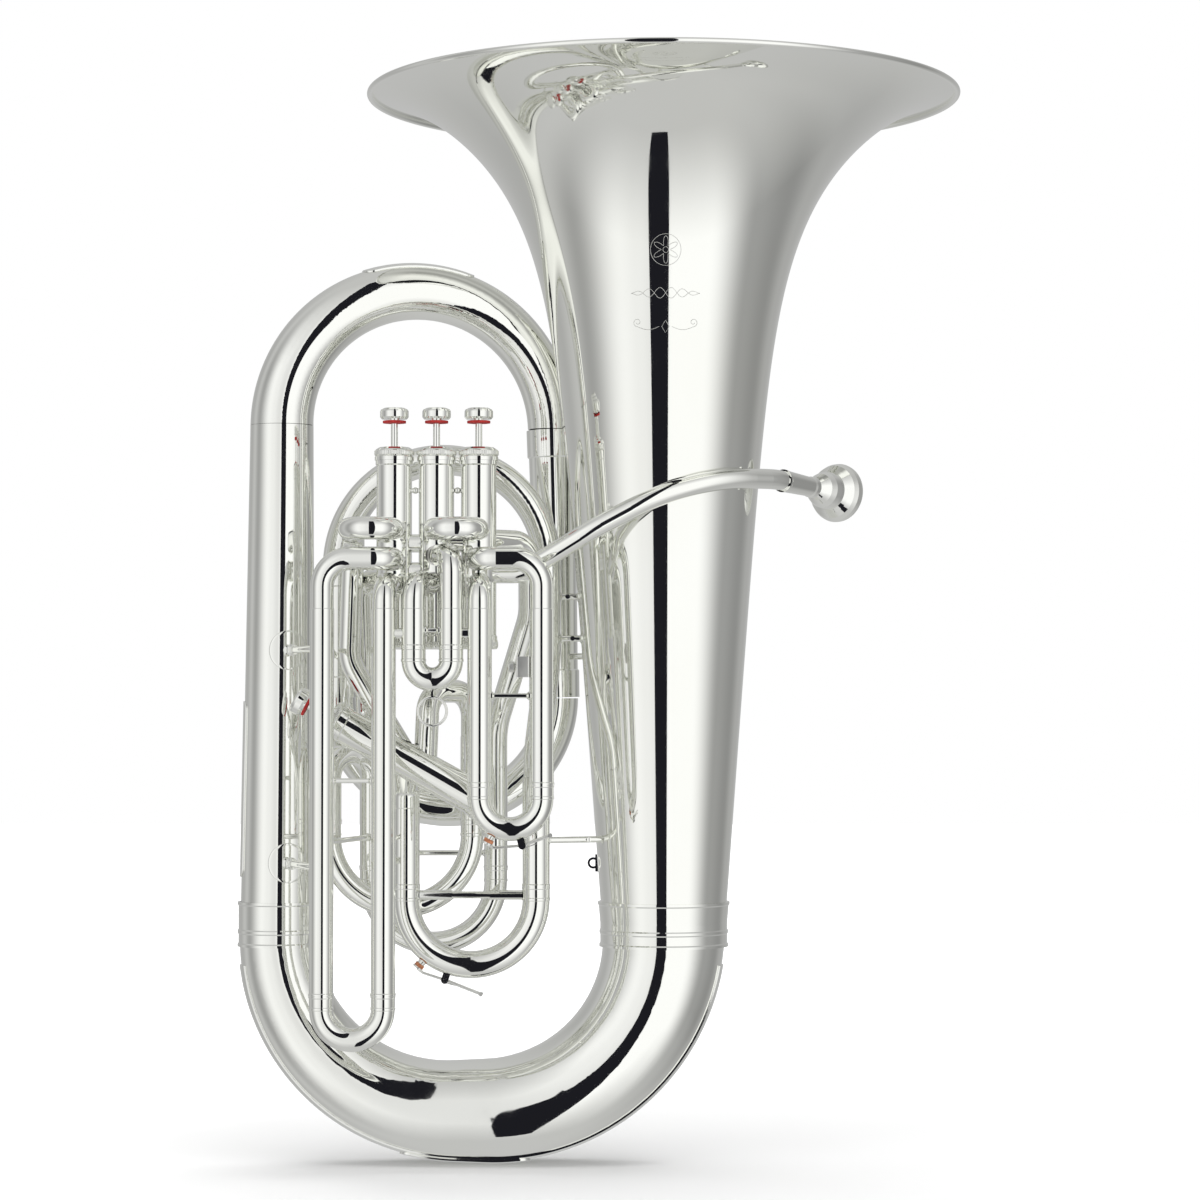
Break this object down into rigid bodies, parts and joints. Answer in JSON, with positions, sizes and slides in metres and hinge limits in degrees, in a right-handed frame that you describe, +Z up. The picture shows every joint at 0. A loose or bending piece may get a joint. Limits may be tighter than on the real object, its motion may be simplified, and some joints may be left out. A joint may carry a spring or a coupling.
{
  "type": "tuba",
  "caption": "Compensating bass tuba, wide conical bell, upright piston valves and a side valve, pull-out tuning slides, water keys and a detachable mouthpiece.",
  "frame": {"origin": "centre of the bounding box, at the height of the foot plate under the bottom bow, which is its lowest point", "axes": "+Z up the bell, +X from the branches toward the bell, +Y from the valve slides toward the player"},
  "size_m": [0.5865, 0.4826, 0.868],
  "materials": {
    "silver_plate": "brass with polished silver plate",
    "piston_nickel": "ground and lapped nickel plate",
    "spring_steel": "drawn wire",
    "red_felt": "dense felt",
    "key_cork": "varnished cork"
  },
  "bodies": {
    "horn": {"bell": "silver_plate", "bell_rim_bead": "silver_plate", "bell_stays": "silver_plate", "bottom_bow": "silver_plate", "bottom_bow_guard": "silver_plate", "bottom_caps": "silver_plate", "branch_guards": "silver_plate", "branch_stays": "silver_plate", "crook_1_2": "silver_plate", "crook_3_4": "silver_plate", "first_branch": "silver_plate", "first_slide_tubes": "silver_plate", "inner_lower_bow": "silver_plate", "inner_upper_bow": "silver_plate", "leadpipe": "silver_plate", "loop_arch": "silver_plate", "loop_link": "silver_plate", "lyre_box": "silver_plate", "main_slide_tubes": "silver_plate", "mouthpiece_receiver": "silver_plate", "rear_link_3_4": "silver_plate", "return_tube": "silver_plate", "second_branch": "silver_plate", "second_slide_tubes": "silver_plate", "slide_stays": "silver_plate", "third_branch": "silver_plate", "third_slide_tubes": "silver_plate", "top_bow": "silver_plate", "top_caps": "silver_plate", "valve_casing_1": "silver_plate", "valve_casing_2": "silver_plate", "valve_casing_3": "silver_plate", "valve_casing_4": "silver_plate", "valve_links": "silver_plate", "valve_springs": "spring_steel"},
    "valve_1": {"piston_1": "piston_nickel", "finger_button_1": "silver_plate", "button_felt_1": "red_felt"},
    "valve_2": {"piston_2": "piston_nickel", "finger_button_2": "silver_plate", "button_felt_2": "red_felt"},
    "valve_3": {"piston_3": "piston_nickel", "finger_button_3": "silver_plate", "button_felt_3": "red_felt"},
    "valve_4": {"piston_4": "piston_nickel", "finger_button_4": "silver_plate", "button_felt_4": "red_felt"},
    "main_slide": {"main_tuning_slide": "silver_plate"},
    "slide_1": {"first_slide": "silver_plate"},
    "slide_2": {"second_slide": "silver_plate"},
    "slide_3": {"third_slide": "silver_plate"},
    "slide_4": {"fourth_slide": "silver_plate"},
    "slide_return": {"return_slide": "silver_plate"},
    "key_main": {"water_key_1": "silver_plate", "water_key_1_cork": "key_cork"},
    "key_first": {"water_key_2": "silver_plate", "water_key_2_cork": "key_cork"},
    "ring": {"pull_ring": "silver_plate"},
    "mouthpiece_body": {"mouthpiece": "silver_plate"},
    "lyre_thumbscrew": {"lyre_screw": "silver_plate"}
  },
  "joints": [
    {"name": "piston_1_travel", "type": "slide", "parent": "horn", "child": "valve_1", "axis": [0, 0, -1], "range_m": [0, 0.019], "stiffness_N_per_m": 120, "springref_m": -0.01, "deforming": ["valve_springs"]},
    {"name": "piston_2_travel", "type": "slide", "parent": "horn", "child": "valve_2", "axis": [0, 0, -1], "range_m": [0, 0.019], "stiffness_N_per_m": 120, "springref_m": -0.01, "deforming": ["valve_springs"]},
    {"name": "piston_3_travel", "type": "slide", "parent": "horn", "child": "valve_3", "axis": [0, 0, -1], "range_m": [0, 0.019], "stiffness_N_per_m": 120, "springref_m": -0.01, "deforming": ["valve_springs"]},
    {"name": "piston_4_travel", "type": "slide", "parent": "horn", "child": "valve_4", "axis": [0.8746, 0, -0.4848], "range_m": [0, 0.019], "stiffness_N_per_m": 120, "springref_m": -0.01, "deforming": ["valve_springs"]},
    {"name": "main_slide_pull", "type": "slide", "parent": "horn", "child": "main_slide", "axis": [0, 0, -1], "range_m": [0, 0.055]},
    {"name": "first_slide_pull", "type": "slide", "parent": "horn", "child": "slide_1", "axis": [0, 0, -1], "range_m": [0, 0.08]},
    {"name": "second_slide_pull", "type": "slide", "parent": "horn", "child": "slide_2", "axis": [0, 0, -1], "range_m": [0, 0.025]},
    {"name": "third_slide_pull", "type": "slide", "parent": "horn", "child": "slide_3", "axis": [0, 0, -1], "range_m": [0, 0.1]},
    {"name": "fourth_slide_pull", "type": "slide", "parent": "horn", "child": "slide_4", "axis": [0, 0, -1], "range_m": [0, 0.022]},
    {"name": "return_slide_pull", "type": "slide", "parent": "horn", "child": "slide_return", "axis": [0, 0, -1], "range_m": [0, 0.05]},
    {"name": "main_water_key", "type": "hinge", "parent": "main_slide", "child": "key_main", "pos_m": [-0.12336, -0.044, 0.15095], "axis": [0, -1, 0], "range_deg": [0, 16], "stiffness_Nm_per_rad": 0.05, "springref_deg": -17.19},
    {"name": "first_water_key", "type": "hinge", "parent": "slide_1", "child": "key_first", "pos_m": [-0.06011, -0.118, 0.26073], "axis": [0, -1, 0], "range_deg": [0, 16], "stiffness_Nm_per_rad": 0.05, "springref_deg": -17.19},
    {"name": "pull_ring_swing", "type": "hinge", "parent": "slide_2", "child": "ring", "pos_m": [-0.1301, -0.118, 0.3763], "axis": [1, 0, 0], "range_deg": [-60, 60]},
    {"name": "mouthpiece_draw", "type": "slide", "parent": "horn", "child": "mouthpiece_body", "axis": [0.6094, 0.7892, -0.0759], "range_m": [0, 0.03]},
    {"name": "lyre_screw_turn", "type": "hinge", "parent": "horn", "child": "lyre_thumbscrew", "pos_m": [-0.06565, -0.118, 0.3995], "axis": [-1, 0, 0], "continuous": true}
  ]
}
